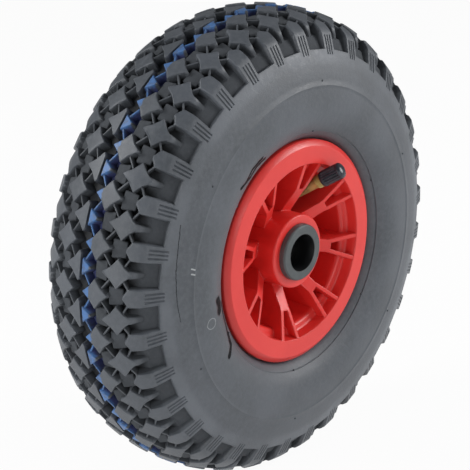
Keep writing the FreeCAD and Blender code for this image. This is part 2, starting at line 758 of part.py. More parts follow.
def cap_cylinder(radius, start, end):
    """A cylinder of the cap, by distance past the stem's mouth."""
    return leg_cylinder(radius, MOUTH + start, MOUTH + end)


def make_cap():
    """Screw cap with a domed end and fluted skirt, over the stem's thread and a rubber disc."""
    inside = SEAT_CLEARANCE + CAP_SEAL_THICKNESS
    top = inside + CAP_CROWN
    skirt = top - CAP_LENGTH
    dome_start = top - CAP_DOME_RISE
    body = cap_cylinder(CAP_RADIUS, skirt, dome_start)
    dome_radius = (CAP_RADIUS ** 2 + CAP_DOME_RISE ** 2) / (2 * CAP_DOME_RISE)
    dome = Part.makeSphere(dome_radius, on_leg(MOUTH + top - dome_radius))
    body = body.fuse(dome.common(cap_cylinder(CAP_RADIUS, dome_start, top + OVERCUT)))
    flutes = []
    for i in range(CAP_FLUTES):
        flute = Part.makeCylinder(
            CAP_FLUTE_RADIUS,
            dome_start - skirt + 2 * OVERCUT,
            on_leg(MOUTH + skirt - OVERCUT) + Vector(0, 0, CAP_RADIUS + CAP_FLUTE_RADIUS / 2),
            LEG,
        )
        flute.rotate(on_leg(0.0), LEG, i * 360.0 / CAP_FLUTES)
        flutes.append(flute)
    return valve_plane(body.cut(flutes + [cap_cylinder(CAP_BORE_RADIUS, skirt - OVERCUT, inside)]))


def make_cap_seal():
    radius = CAP_BORE_RADIUS - SEAT_CLEARANCE
    return valve_plane(cap_cylinder(radius, SEAT_CLEARANCE, CAP_SEAL_THICKNESS))


def main():
    os.makedirs("parts", exist_ok=True)
    save(make_tyre(), "tyre")
    save(make_inner_tube(), "inner_tube")
    save(make_rim(), "rim")
    save(make_sleeve(), "bearing_sleeve")
    save(make_cage(), "roller_cage")
    roller = roller_shape()
    for i in range(ROLLERS):
        save(turned(roller, i * 360.0 / ROLLERS), "roller_" + str(i + 1))
    bush = make_bush()
    save(bush, "end_bush_back")
    save(mirrored(bush), "end_bush_front")
    save(make_stem(), "valve_stem")
    save(make_core_body(), "valve_core_body")
    save(make_gasket(), "valve_core_gasket")
    save(make_pin(), "valve_pin")
    save(make_pin_seal(), "valve_pin_seal")
    save(make_spring(), "valve_spring")
    save(make_cap(), "valve_cap")
    save(make_cap_seal(), "valve_cap_seal")


main()
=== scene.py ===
import math
import bmesh
import bpy
import numpy as np
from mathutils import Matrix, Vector
from mathutils.geometry import delaunay_2d_cdt


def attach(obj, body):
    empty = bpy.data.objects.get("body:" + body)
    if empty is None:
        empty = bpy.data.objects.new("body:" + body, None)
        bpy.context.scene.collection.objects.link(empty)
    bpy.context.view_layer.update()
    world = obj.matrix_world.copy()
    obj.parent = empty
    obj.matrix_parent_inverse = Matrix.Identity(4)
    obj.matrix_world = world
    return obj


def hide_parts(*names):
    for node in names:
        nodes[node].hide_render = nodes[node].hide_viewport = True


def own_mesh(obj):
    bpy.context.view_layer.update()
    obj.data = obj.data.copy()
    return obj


# Looks of a pneumatic hand-truck wheel: block-tread tyre, moulded red rim, bent valve and bearing bush.
# Lengths are in millimetres, scaled to metres where a mesh is made, unless a name says otherwise.

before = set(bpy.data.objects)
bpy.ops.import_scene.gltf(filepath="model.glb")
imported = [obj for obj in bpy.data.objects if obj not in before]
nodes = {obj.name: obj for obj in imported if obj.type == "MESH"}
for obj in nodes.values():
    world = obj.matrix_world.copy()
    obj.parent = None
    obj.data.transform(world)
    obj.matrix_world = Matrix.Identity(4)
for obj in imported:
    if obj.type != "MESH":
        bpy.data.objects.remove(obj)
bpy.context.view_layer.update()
MM = 0.001
TINY = 1e-6

# Tyre outline, on one side of the parting line
TYRE_RADIUS = 130.0
HALF_TYRE = 42.5
CROWN_ARC = 75.0
CROWN_HALF_WIDTH = 17.0
SHOULDER_ARC = 27.0
SHOULDER_END = math.radians(65.0)
LOWER_WALL_ARC = 24.0
SEAT_RADIUS = 51.0
HEEL = 31.0
FOOT_HEIGHT = 11.4
BEAD_WIDTH = 6.8
TREAD_DEPTH = 6.0

# Tread, laid out by arc length from the parting line and by angle
PITCHES = 33
PITCH = 2 * math.pi / PITCHES
TREAD_PHASE = math.radians(7.8)
# Diamonds as (middle, half length, half width), platforms as (waist end, wide end, half width)
CENTRE_DIAMOND = (0.0, 8.4, 7.8)
INNER_DIAMOND = (11.0, 7.7, 7.8)
OUTER_DIAMOND = (23.2, 8.3, 7.6)
INNER_PLATFORM = (9.4, 16.6, 5.3)
OUTER_PLATFORM = (26.6, 18.0, 5.0)
PLATFORM_TOP = 2.7
PLATFORM_WAIST = 0.8
LUG_TIP = 26.2
LUG_START = 29.2
LUG_EDGE = 34.8
LUG_END = 46.4
LUG_HALF_WIDTH = 4.6
LUG_PROUD = 0.8
POCKET_END = 44.8
FLOOR_STATIONS = (0.0, 31.0, 36.5, 44.55, 44.75, 44.9, 45.2, 100.0)
FLOOR_DEPTHS = (6.0, 6.0, 3.0, 2.2, 2.0, 0.35, 0.0, 0.0)
TAIL_ENDS = (29.0, 37.2)
TAIL_HALF_WIDTHS = (1.9, 1.1)
TAIL_STATIONS = (29.5, 31.6, 37.2)
TAIL_DEPTHS = (0.3, 0.7, 2.3)
GRID_START = 49.8
COLUMNS = 6
LAYOUT_RADIUS = 125.0
# Ribs across the grooves: from beside a block's middle to short of the next one's, as (arc length, across)
TIES = (((19.2, 3.3), (14.7, 3.6)), ((3.9, 3.5), (7.4, 3.5)), ((26.6, 4.0), (29.5, 4.2)))


def outline_arcs():
    """The tyre's outside on one side, as (centre's radius, centre's place across, arc, start, end)."""
    crown_end = math.asin(CROWN_HALF_WIDTH / CROWN_ARC)
    crown = (TYRE_RADIUS - CROWN_ARC, 0.0)
    reach = CROWN_ARC - SHOULDER_ARC
    shoulder = (crown[0] + reach * math.cos(crown_end), reach * math.sin(crown_end))
    edge = shoulder[1] + SHOULDER_ARC * math.sin(SHOULDER_END)
    side_arc = (HALF_TYRE - edge) / (1 - math.sin(SHOULDER_END))
    side = (shoulder[0] + (SHOULDER_ARC - side_arc) * math.cos(SHOULDER_END), HALF_TYRE - side_arc)
    lower = (side[0], HALF_TYRE - LOWER_WALL_ARC)
    foot = math.pi / 2 + math.asin((lower[0] - SEAT_RADIUS - FOOT_HEIGHT) / LOWER_WALL_ARC)
    return (
        (*crown, CROWN_ARC, 0.0, crown_end),
        (*shoulder, SHOULDER_ARC, crown_end, SHOULDER_END),
        (*side, side_arc, SHOULDER_END, math.pi / 2),
        (*lower, LOWER_WALL_ARC, math.pi / 2, foot),
    )


ARCS = outline_arcs()
OUTLINE_LENGTH = sum(arc * (end - start) for _, _, arc, start, end in ARCS)


def skin(length, depth):
    """Distance from the axle and along it, by arc length from the parting line and depth."""
    length = np.asarray(length, float)
    radius = np.zeros_like(length)
    across = np.zeros_like(length)
    before = 0.0
    for centre_radius, centre_across, arc, start, end in ARCS:
        here = length >= before - TINY
        angle = start + (length - before) / arc
        radius = np.where(here, centre_radius + (arc - depth) * np.cos(angle), radius)
        across = np.where(here, centre_across + (arc - depth) * np.sin(angle), across)
        before += arc * (end - start)
    return radius, across


def layout(length, across, pitch_part):
    """A point of the tread's flat layout. across is counted round the tyre from a meridian."""
    radius = float(skin(abs(length), 0.0)[0])
    return (length, (across / radius + pitch_part * PITCH) * LAYOUT_RADIUS)


OUT_OF_REACH = 99.0


class Form:
    """A raised or sunk form of the tread: a convex outline with its top and the fall of its walls."""

    def __init__(self, corners, top, edge, sunk=False):
        middle = np.mean(corners, axis=0)
        order = sorted(corners, key=lambda point: math.atan2(point[1] - middle[1], point[0] - middle[0]))
        self.corners = np.array(order, float)
        along = np.roll(self.corners, -1, axis=0) - self.corners
        self.normals = np.stack([along[:, 1], -along[:, 0]], axis=1)
        self.normals /= np.linalg.norm(self.normals, axis=1)[:, None]
        self.reach = (self.normals * self.corners).sum(axis=1)
        self.top = top
        self.offsets, self.drops = zip(*edge)
        self.sunk = sunk

    def distance(self, points):
        """How far points are outside the outline, and less than zero inside."""
        return (points @ self.normals.T - self.reach).max(axis=1)

    def depth(self, points):
        """Depth of a raised form below the tyre's outline, or what a sunk form adds to the depth."""
        distance = self.distance(points)
        drop = np.interp(distance, self.offsets, self.drops, right=0.0 if self.sunk else OUT_OF_REACH)
        return drop if self.sunk else drop + self.top(points[:, 0])

    def contour(self, offset):
        """The outline with its sides moved outwards."""
        loop = []
        for i in range(len(self.corners)):
            pair = self.normals[[i - 1, i]]
            loop.append(np.linalg.solve(pair, self.reach[[i - 1, i]] + offset))
        return loop

    def contours(self):
        return [self.contour(offset) for offset in self.offsets]


def level(depth):
    """A flat top."""
    return lambda length: np.full_like(length, depth)


def cut_corners(corners, size):
    """The same outline with each corner cut off, so that the moulding has no knife edges."""
    made = []
    for i, corner in enumerate(corners):
        here = np.array(corner, float)
        for other in (corners[i - 1], corners[(i + 1) % len(corners)]):
            along = np.array(other, float) - here
            made.append(tuple(here + along / np.linalg.norm(along) * size))
    return made


# Edges of raised and sunk forms, as (distance past the outline, fall)
BLOCK_EDGE = ((-0.34, 0.0), (0.0, 0.28), (0.75, 6.5))
LOW_EDGE = ((-0.4, 0.0), (0.0, 0.35), (0.45, 3.8))
TIE_EDGE = ((-0.22, 0.0), (0.0, 0.2), (0.35, 6.0))
SIPE_EDGE = ((-0.58, 0.62), (-0.25, 0.4), (0.0, 0.0))
CORNER_CUT = 0.55
TIP_CUT = 0.28
DIAMOND_WAIST = 0.77
TIE_HALF_WIDTH = 0.42
TIE_TOP = 0.9
SIPE_START = 37.2
SIPE_END = 47.9
SIPE_SPACING = 2.2
SIPE_HALF_WIDTH = 0.6
PARTING_WIDTHS = (1.3, 1.5, 2.7, 2.9)
PARTING_DEPTH = 4.2


def diamond(size, part):
    """A block with four drawn-out tips and hollow sides, as two crossed rhombs."""
    middle, half_length, half_width = size
    rhombs = []
    for along, across in ((1.0, DIAMOND_WAIST), (DIAMOND_WAIST, 1.0)):
        reach, width = half_length * along, half_width * across
        corners = [(middle - reach, 0.0), (middle, width), (middle + reach, 0.0), (middle, -width)]
        placed = cut_corners([layout(length, side, part) for length, side in corners], TIP_CUT)
        rhombs.append(Form(placed, level(0.0), BLOCK_EDGE))
    return rhombs


def platform(start, end, half, part):
    """The lower land between two blocks of one row."""
    waist = half * PLATFORM_WAIST
    corners = [(start, -waist), (start, waist), (end, half), (end, -half)]
    placed = cut_corners([layout(length, across, part) for length, across in corners], CORNER_CUT)
    return Form(placed, level(PLATFORM_TOP), LOW_EDGE)


def tie(start, end, part):
    """A thin rib across a groove, between two points of the layout."""
    first = np.array(layout(*start, part))
    last = np.array(layout(*end, part))
    along = last - first
    side = np.array([-along[1], along[0]]) / np.linalg.norm(along) * TIE_HALF_WIDTH
    corners = [tuple(first + side), tuple(last + side), tuple(last - side), tuple(first - side)]
    return Form(corners, level(TIE_TOP), TIE_EDGE)


def lug(part):
    """A shoulder lug: pointed towards the crown, with an edge where it turns to the side wall."""
    half_angle = LUG_HALF_WIDTH / float(skin(LUG_START, 0.0)[0])
    middle = part * PITCH
    half = half_angle * LAYOUT_RADIUS
    centre = middle * LAYOUT_RADIUS
    corners = [
        (LUG_TIP, centre), (LUG_START, centre + half), (LUG_END, centre + half),
        (LUG_END, centre - half), (LUG_START, centre - half),
    ]
    edge = (LUG_START, LUG_EDGE, POCKET_END)
    proud = (0.0, -LUG_PROUD, 0.0)
    form = Form(cut_corners(corners, CORNER_CUT), lambda length: np.interp(length, edge, proud), BLOCK_EDGE)
    sipes = []
    for k in (-1, 0, 1):
        offset = centre + k * SIPE_SPACING
        box = [
            (SIPE_START, offset - SIPE_HALF_WIDTH), (SIPE_START, offset + SIPE_HALF_WIDTH),
            (SIPE_END, offset + SIPE_HALF_WIDTH), (SIPE_END, offset - SIPE_HALF_WIDTH),
        ]
        sipes.append(Form(box, None, SIPE_EDGE, sunk=True))
    return [form] + sipes


def tail(part):
    """The ridge that runs on from an outer block into the pocket between two lugs."""
    start, end = TAIL_ENDS
    wide, narrow = TAIL_HALF_WIDTHS
    corners = [(start, -wide), (start, wide), (end, narrow), (end, -narrow)]
    placed = [layout(length, across, part) for length, across in corners]
    return Form(placed, lambda length: np.interp(length, TAIL_STATIONS, TAIL_DEPTHS), LOW_EDGE)


def forms_of_pitch():
    """Every form that shows in one pitch, with those of its edges on both sides."""
    forms = diamond(CENTRE_DIAMOND, 0.0) + diamond(OUTER_DIAMOND, 0.0)
    forms += [platform(*INNER_PLATFORM, 0.0), tail(0.0)]
    for part in (-0.5, 0.5):
        forms += diamond(INNER_DIAMOND, part) + [platform(*OUTER_PLATFORM, part)]
        forms += lug(part)
    for side in (-1, 1):
        far = side * PITCH / 2 * TYRE_RADIUS
        for (start, start_across), (end, end_across) in TIES:
            forms.append(tie((start, side * start_across), (end, far - side * end_across), 0.0))
    return forms


FORMS = forms_of_pitch()


def relief(points, side):
    """Depth of the tread below its outline at points of the layout. The parting groove is on one side."""
    depth = np.interp(points[:, 0], FLOOR_STATIONS, FLOOR_DEPTHS)
    for form in FORMS:
        if not form.sunk:
            depth = np.minimum(depth, form.depth(points))
    for form in FORMS:
        if form.sunk:
            depth = depth + form.depth(points)
    if side < 0:
        parting = np.interp(points[:, 0], PARTING_WIDTHS, (0.0, PARTING_DEPTH, PARTING_DEPTH, 0.0))
        depth = np.minimum(depth + parting, TREAD_DEPTH + PARTING_DEPTH / 4)
    return depth


FILL_ROWS = 12
FILL_STEP = 4.0
FILL_START = 0.37
FILL_SPREAD = 2.5
MERGE_LIMIT = 1e-4


def tread_triangles():
    """The flat layout of one pitch on one side as triangles that follow every edge of the relief."""
    half = PITCH / 2 * LAYOUT_RADIUS
    points = []
    edges = []

    def add_loop(loop, closed=True):
        first = len(points)
        points.extend(Vector((float(p[0]), float(p[1]))) for p in loop)
        count = len(loop)
        edges.extend((first + i, first + (i + 1) % count) for i in range(count if closed else count - 1))

    columns = [(GRID_START, -half + 2 * half * i / COLUMNS) for i in range(COLUMNS + 1)]
    add_loop([(0.0, -half)] + columns + [(0.0, half)])
    for form in FORMS:
        for loop in form.contours():
            add_loop(loop)
    for station in list(PARTING_WIDTHS) + list(FLOOR_STATIONS[1:-1]) + [LUG_EDGE]:
        add_loop([(station, -half), (station, half)], closed=False)
    for i in range(1, FILL_ROWS):
        for k in (-2, -1, 0, 1, 2):
            points.append(Vector((i * FILL_STEP + FILL_START, k * half / FILL_SPREAD)))
    found = delaunay_2d_cdt(points, edges, [], 0, MERGE_LIMIT)
    flat = np.array([tuple(p) for p in found[0]])
    triangles = np.array([list(f) for f in found[2]])
    middle = flat[triangles].mean(axis=1)
    inside = (middle[:, 0] > 0) & (middle[:, 0] < GRID_START) & (np.abs(middle[:, 1]) < half)
    triangles = triangles[inside]
    used, triangles = np.unique(triangles, return_inverse=True)
    return flat[used], triangles.reshape(-1, 3)


# Side wall: a fine ring, and a step beside the rim
RING_LENGTH = 64.3
RING_HEIGHT = 0.3
RING_TOP = 0.1
RING_HALF_WIDTH = 0.55
STEP_LENGTH = 90.0
STEP_PLACES = (-0.3, -0.1, 0.15, 0.5)
STEP_DEPTHS = (0.0, 0.45, 0.45, 0.2)
EVEN_STATIONS = 18
STATION_CLEARANCE = 1.0


def wall_relief(length):
    """Depth of the side wall's ring and step below the tyre's outline."""
    ring = np.interp(np.abs(length - RING_LENGTH), (RING_TOP, RING_HALF_WIDTH), (-RING_HEIGHT, 0.0))
    return ring + np.interp(length - STEP_LENGTH, STEP_PLACES, STEP_DEPTHS)


def wall_stations():
    """Arc lengths of the side wall's rows: even ones, with those of the ring and the step."""
    even = np.linspace(GRID_START, OUTLINE_LENGTH, EVEN_STATIONS)
    ring = [RING_LENGTH + k for k in (-RING_HALF_WIDTH, -RING_TOP, RING_TOP, RING_HALF_WIDTH)]
    step = [STEP_LENGTH + k for k in STEP_PLACES]
    taken = np.minimum(np.abs(even - RING_LENGTH), np.abs(even - STEP_LENGTH)) <= STATION_CLEARANCE
    kept = list(even[~taken])
    return np.array(sorted(kept + ring + step))


# Inside of the tyre: lip and toe of the bead, then the casing, as (from the axle, along it)
FOOT_DROPS = (0.5, 1.2)
LIP = 0.1
BEAD_ROUND = 1.0
TOE = (2.5, 0.6)
CASING = ((64.0, 32.0), (80.0, 37.0), (100.0, 33.0), (113.0, 22.0), (118.6, 12.0), (120.0, 0.0))


def inside_section():
    """The bead and the inside of the tyre on one side, as distances from the axle and along it."""
    foot = SEAT_RADIUS + FOOT_HEIGHT
    toe = HEEL - BEAD_WIDTH
    return [
        (foot - FOOT_DROPS[0], HEEL + LIP), (foot - FOOT_DROPS[1], HEEL), (SEAT_RADIUS + BEAD_ROUND, HEEL),
        (SEAT_RADIUS, HEEL - BEAD_ROUND), (SEAT_RADIUS, toe), (SEAT_RADIUS + TOE[0], toe - TOE[1]), *CASING,
    ]


VENTS = 6
VENT_PHASE = math.radians(24.0)
VENT_LENGTH = 61.7
# Rings of a nub as (radius, height), and the depth whose shade it takes
VENT_PROFILE = ((0.62, -0.25), (0.5, 0.12), (0.38, 0.34), (0.18, 0.42))
VENT_SHADE = 3.0
VENT_SIDES = 10


def vent(side, length, angle):
    """A nub that the mould's air vent leaves on the side wall: rings that narrow to a small flat top."""
    turn = np.arange(VENT_SIDES) * 2 * math.pi / VENT_SIDES
    points = []
    for reach, height in VENT_PROFILE:
        radius, across = skin(length + reach * np.cos(turn), -height)
        here = angle + reach * np.sin(turn) / radius
        points.append(np.stack([radius * np.cos(here), side * across, radius * np.sin(here)], axis=1))
    faces = ring_faces(len(VENT_PROFILE), VENT_SIDES).tolist()
    last = (len(VENT_PROFILE) - 1) * VENT_SIDES
    faces.append(list(range(last, last + VENT_SIDES))[::-1])
    faces.append(list(range(VENT_SIDES)))
    values = (VENT_SHADE, length, math.degrees(angle))
    marks = np.stack([np.full(len(VENT_PROFILE) * VENT_SIDES, value) for value in values])
    return np.concatenate(points), faces, marks


def ring_faces(rows, columns):
    """Quads between neighbouring rows of a closed ring of columns."""
    row, column = np.meshgrid(np.arange(rows - 1), np.arange(columns), indexing="ij")
    here = row * columns + column
    beside = row * columns + (column + 1) % columns
    return np.stack([here, here + columns, beside + columns, beside], axis=-1).reshape(-1, 4)


def make_object(name, points, faces, material_name, attributes=None):
    """A mesh object from points in metres."""
    mesh = bpy.data.meshes.new(name)
    mesh.from_pydata([tuple(p) for p in points], [], [tuple(int(i) for i in f) for f in faces])
    for key, values in (attributes or {}).items():
        layer = mesh.attributes.new(key, "FLOAT", "POINT")
        layer.data.foreach_set("value", np.asarray(values, np.float32))
    mesh.materials.append(MATERIALS[material_name])
    made = bpy.data.objects.new(name, mesh)
    bpy.context.scene.collection.objects.link(made)
    return made


def merge_and_shade(obj, sharp_degrees, merge):
    """Joins points that touch, turns the faces outwards and shades all but sharp edges smooth."""
    work = bmesh.new()
    work.from_mesh(obj.data)
    bmesh.ops.remove_doubles(work, verts=work.verts, dist=merge * MM)
    bmesh.ops.recalc_face_normals(work, faces=work.faces)
    work.to_mesh(obj.data)
    work.free()
    obj.data.shade_smooth()
    obj.data.set_sharp_from_angle(angle=math.radians(sharp_degrees))


class Surface:
    """Points, faces and point values of a mesh that is put together from parts on both sides of the tyre."""

    def __init__(self):
        self.points = []
        self.faces = []
        self.marks = []
        self.count = 0

    def add(self, side, points, faces, marks):
        """Adds a part, with its faces turned round on the near side."""
        self.points.append(points)
        self.faces.extend([[i + self.count for i in face][::side] for face in faces])
        self.marks.append(marks)
        self.count += len(points)


def add_tread(surface, side, flat, triangles):
    """The block tread on one side: one pitch, repeated round the tyre."""
    depth = relief(flat, side)
    radius, across = skin(flat[:, 0], depth)
    for k in range(PITCHES):
        turn = TREAD_PHASE + k * PITCH + flat[:, 1] / LAYOUT_RADIUS
        points = np.stack([radius * np.cos(turn), side * across, radius * np.sin(turn)], axis=1)
        surface.add(side, points, triangles.tolist(), np.stack([depth, flat[:, 0], np.degrees(turn)]))


def add_wall(surface, side):
    """The side wall, bead and inside on one side, with the nubs of its vents."""
    stations = wall_stations()
    wall_radius, wall_across = skin(stations, wall_relief(stations))
    inside = inside_section()
    section = list(zip(wall_radius, wall_across)) + inside
    lengths = np.concatenate([stations, np.full(len(inside), OUTLINE_LENGTH)])
    columns = COLUMNS * PITCHES
    turn = TREAD_PHASE - PITCH / 2 + np.arange(columns) * PITCH / COLUMNS
    rows = []
    for radius, across in section:
        place = [radius * np.cos(turn), np.full_like(turn, side * across), radius * np.sin(turn)]
        rows.append(np.stack(place, axis=1))
    arc, degrees = np.meshgrid(lengths, np.degrees(turn), indexing="ij")
    marks = np.stack([0 * arc, arc, degrees]).reshape(3, -1)
    surface.add(side, np.concatenate(rows), ring_faces(len(section), columns).tolist(), marks)
    for length in (VENT_LENGTH, STEP_LENGTH):
        for k in range(VENTS):
            surface.add(side, *vent(side, length, VENT_PHASE + 2 * math.pi * k / VENTS))


TYRE_SHARP = 36.0
TYRE_MERGE = 0.004


def make_tyre():
    """Tyre with its block tread. Its points hold their depth and place for the material."""
    flat, triangles = tread_triangles()
    surface = Surface()
    for side in (-1, 1):
        add_tread(surface, side, flat, triangles)
    for side in (-1, 1):
        add_wall(surface, side)
    values = dict(zip(("relief", "arc", "degrees"), np.concatenate(surface.marks, axis=1)))
    points = np.concatenate(surface.points) * MM
    made = make_object("tyre_rubber", points, surface.faces, "tyre_rubber", values)
    merge_and_shade(made, TYRE_SHARP, TYRE_MERGE)
    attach(made, "wheel")
    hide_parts("tyre")


# Valve, drawn in the plane through the axle at its angle: elbow, then distances up the long leg
VALVE_ANGLE = math.radians(62.0)
ELBOW_RADIUS = 31.65
ELBOW_ACROSS = -14.3
ELBOW_ARC = 4.5
ELBOW_STEPS = 12
LEG_RUN = 23.1
LEG_RISE = 16.907
STEM_RADIUS = 3.1
STEM_LENGTH = 33.9
STEM_CHAMFER = 0.1
STEM_SHARP = 30.0
FOOT_FROM_AXLE = 49.1
# Foot as (radius, thickness, sink), and the stem's bores as (radius, depth from its end)
STEM_FOOT = (6.0, 1.2, 0.8)
CORE_CHAMBER = (2.65, 8.5)
CORE_TAIL = (2.05, 20.0)
AIR_BORE = 1.3
# Thread, with the shares of a turn at which its form changes and the shares of its depth there
THREAD_START = 19.4
THREAD_RADIUS = 3.85
THREAD_PITCH = 0.8
THREAD_DEPTH = 0.42
THREAD_LEAD_IN = (0.8, 0.1)
THREAD_END = 0.5
THREAD_STEPS = 116
THREAD_PARTS = (0.0, 0.12, 0.45, 0.55, 0.88, 1.0)
THREAD_FORM = (0.0, 0.0, 1.0, 1.0, 0.0, 0.0)
# Cap, by distance from the stem's end. Its mouth has a chamfer, and its rim is (distance, drop) pairs
CAP_RADIUS = 4.5
CAP_BORE = 3.92
CAP_SKIRT = -11.35
CAP_INSIDE = 1.05
CAP_TIP = 2.45
CAP_CENTRE = 0.05
CAP_MOUTH = (0.3, 0.2)
CAP_RIM = ((0.0, 0.4), (0.3, 0.18), (1.1, 0.15))
CAP_DOME_START = 0.3
CAP_DOME_STEPS = 12
CAP_SHARP = 40.0
CAP_FLUTES = 18
CAP_FLUTE_DEPTH = 0.62
CAP_FLUTE_ENDS = (1.25, 0.2)
CAP_FLUTE_STEPS = 24
CAP_FLUTE_RUNOUT = 2
CAP_FLUTE_SHARE = 0.2
# Spring, by depths from the stem's end
SPRING_DEPTHS = (5.75, 11.75)
SPRING_COIL_RADIUS = 1.1
SPRING_WIRE_RADIUS = 0.2
SPRING_PITCH = 1.1
SPRING_STEPS = 24
SPRING_SIDES = 10
SPRING_SHARP = 60.0
SPRING_MERGE = 0.001
ROUND = 108
TURNED_MERGE = 0.002


def valve_frame():
    """Start of the long leg, its direction and its side, in the valve's plane."""
    lean = math.atan2(LEG_RISE, LEG_RUN)
    leg = np.array([math.sin(lean), -math.cos(lean)])
    side = np.array([-leg[1], leg[0]])
    return np.array([ELBOW_RADIUS, ELBOW_ACROSS]) - side * ELBOW_ARC, leg, side, lean


def stem_line(distance):
    """Point and direction of the stem's centre line. Distances before the leg are on the elbow and foot."""
    start, leg, _, lean = valve_frame()
    centre = np.array([ELBOW_RADIUS, ELBOW_ACROSS])
    bend = math.pi / 2 + lean
    if distance >= 0:
        return start + leg * distance, leg
    turn = min(-distance / ELBOW_ARC, bend)
    away = (start - centre) * math.cos(turn) - leg * math.sin(turn) * ELBOW_ARC
    direction = leg * math.cos(turn) + (start - centre) / ELBOW_ARC * math.sin(turn)
    beyond = -distance - turn * ELBOW_ARC
    return centre + away - direction * beyond, direction


def valve_axes():
    """Away from the axle in the valve's plane, across that plane, and along the axle."""
    out = np.array([math.cos(VALVE_ANGLE), 0.0, math.sin(VALVE_ANGLE)])
    across = np.array([-math.sin(VALVE_ANGLE), 0.0, math.cos(VALVE_ANGLE)])
    return out, across, np.array([0.0, 1.0, 0.0])


def turned_rows(rows, radius_at):
    """Rings of points about the stem's centre line. rows are (distance, radius, threaded or fluted)."""
    turn = np.arange(ROUND) * 2 * math.pi / ROUND
    out, across, axle = valve_axes()
    points = []
    for row in rows:
        middle, direction = stem_line(row[0])
        normal = -direction[1] * out + direction[0] * axle
        radius = radius_at(row, turn)
        centre = middle[0] * out + middle[1] * axle
        ring = centre + (np.cos(turn) * radius)[:, None] * normal + (np.sin(turn) * radius)[:, None] * across
        points.append(ring)
    return np.concatenate(points)


def lathe(name, rows, radius_at, material_name, closed, sharp):
    """A turned piece from its rows: closed rows meet end to end, the others end in flat caps."""
    points = turned_rows(rows, radius_at)
    faces = ring_faces(len(rows), ROUND).tolist()
    last = (len(rows) - 1) * ROUND
    if closed:
        faces += [[last + i, i, (i + 1) % ROUND, last + (i + 1) % ROUND] for i in range(ROUND)]
    else:
        faces.append(list(range(ROUND)))
        faces.append(list(range(last, last + ROUND))[::-1])
    made = make_object(name, points * MM, faces, material_name)
    merge_and_shade(made, sharp, TURNED_MERGE)
    return made


def make_stem():
    """Bent brass stem with a fine thread, its bore stepped for the valve's core."""
    bend = (math.pi / 2 + valve_frame()[3]) * ELBOW_ARC
    foot = -bend - (FOOT_FROM_AXLE - ELBOW_RADIUS)
    foot_radius, foot_thickness, foot_sink = STEM_FOOT
    flange = foot + foot_sink
    thread_end = STEM_LENGTH - THREAD_END
    thread_run = thread_end - THREAD_START
    chamber_radius, chamber_depth = CORE_CHAMBER
    tail_radius, tail_depth = CORE_TAIL
    root = THREAD_RADIUS - THREAD_DEPTH
    rows = [(flange - foot_thickness, foot_radius, 0), (flange, foot_radius, 0)]
    rows += [(flange, STEM_RADIUS, 0), (-bend, STEM_RADIUS, 0)]
    rows += [(-bend * (1 - k / ELBOW_STEPS), STEM_RADIUS, 0) for k in range(1, ELBOW_STEPS + 1)]
    rows += [(THREAD_START - THREAD_LEAD_IN[0], STEM_RADIUS, 0), (THREAD_START - THREAD_LEAD_IN[1], root, 0)]
    for k in range(THREAD_STEPS + 1):
        rows.append((THREAD_START + thread_run * k / THREAD_STEPS, THREAD_RADIUS, 1))
    rows += [(STEM_LENGTH, root - STEM_CHAMFER, 0), (STEM_LENGTH, chamber_radius, 0)]
    rows += [(STEM_LENGTH - chamber_depth, chamber_radius, 0), (STEM_LENGTH - chamber_depth, tail_radius, 0)]
    rows += [(STEM_LENGTH - tail_depth, tail_radius, 0), (STEM_LENGTH - tail_depth, AIR_BORE, 0)]
    rows += [(-bend * k / ELBOW_STEPS, AIR_BORE, 0) for k in range(ELBOW_STEPS + 1)]
    rows += [(flange - foot_thickness, AIR_BORE, 0)]

    def radius_at(row, turn):
        distance, radius, threaded = row
        if not threaded:
            return np.full(ROUND, radius)
        part = (distance / THREAD_PITCH - turn / (2 * math.pi)) % 1.0
        return radius - THREAD_DEPTH * np.interp(part, THREAD_PARTS, THREAD_FORM)

    made = lathe("valve_stem_brass", rows, radius_at, "brass", True, STEM_SHARP)
    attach(made, "wheel")
    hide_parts("valve_stem")


def make_spring():
    """The core's spring, a coil of round wire in the stem's bore."""
    out, across, axle = valve_axes()
    start, leg, side, _ = valve_frame()
    along = leg[0] * out + leg[1] * axle
    beside = side[0] * out + side[1] * axle
    origin = start[0] * out + start[1] * axle
    top, bottom = (STEM_LENGTH - depth for depth in SPRING_DEPTHS)
    steps = int(SPRING_STEPS * (top - bottom) / SPRING_PITCH)
    around = np.arange(SPRING_SIDES) * 2 * math.pi / SPRING_SIDES
    rings = []
    for i in range(steps + 1):
        turn = 2 * math.pi * i / SPRING_STEPS
        outward = beside * math.cos(turn) + across * math.sin(turn)
        middle = origin + along * (bottom + (top - bottom) * i / steps) + outward * SPRING_COIL_RADIUS
        wire = np.outer(np.cos(around), outward) + np.outer(np.sin(around), along)
        rings.append(middle + SPRING_WIRE_RADIUS * wire)
    faces = ring_faces(steps + 1, SPRING_SIDES).tolist()
    last = steps * SPRING_SIDES
    faces += [list(range(SPRING_SIDES)), list(range(last, last + SPRING_SIDES))[::-1]]
    made = make_object("valve_coil", np.concatenate(rings) * MM, faces, "spring_steel")
    merge_and_shade(made, SPRING_SHARP, SPRING_MERGE)
    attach(made, "wheel")
    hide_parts("valve_spring")
    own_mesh(made)


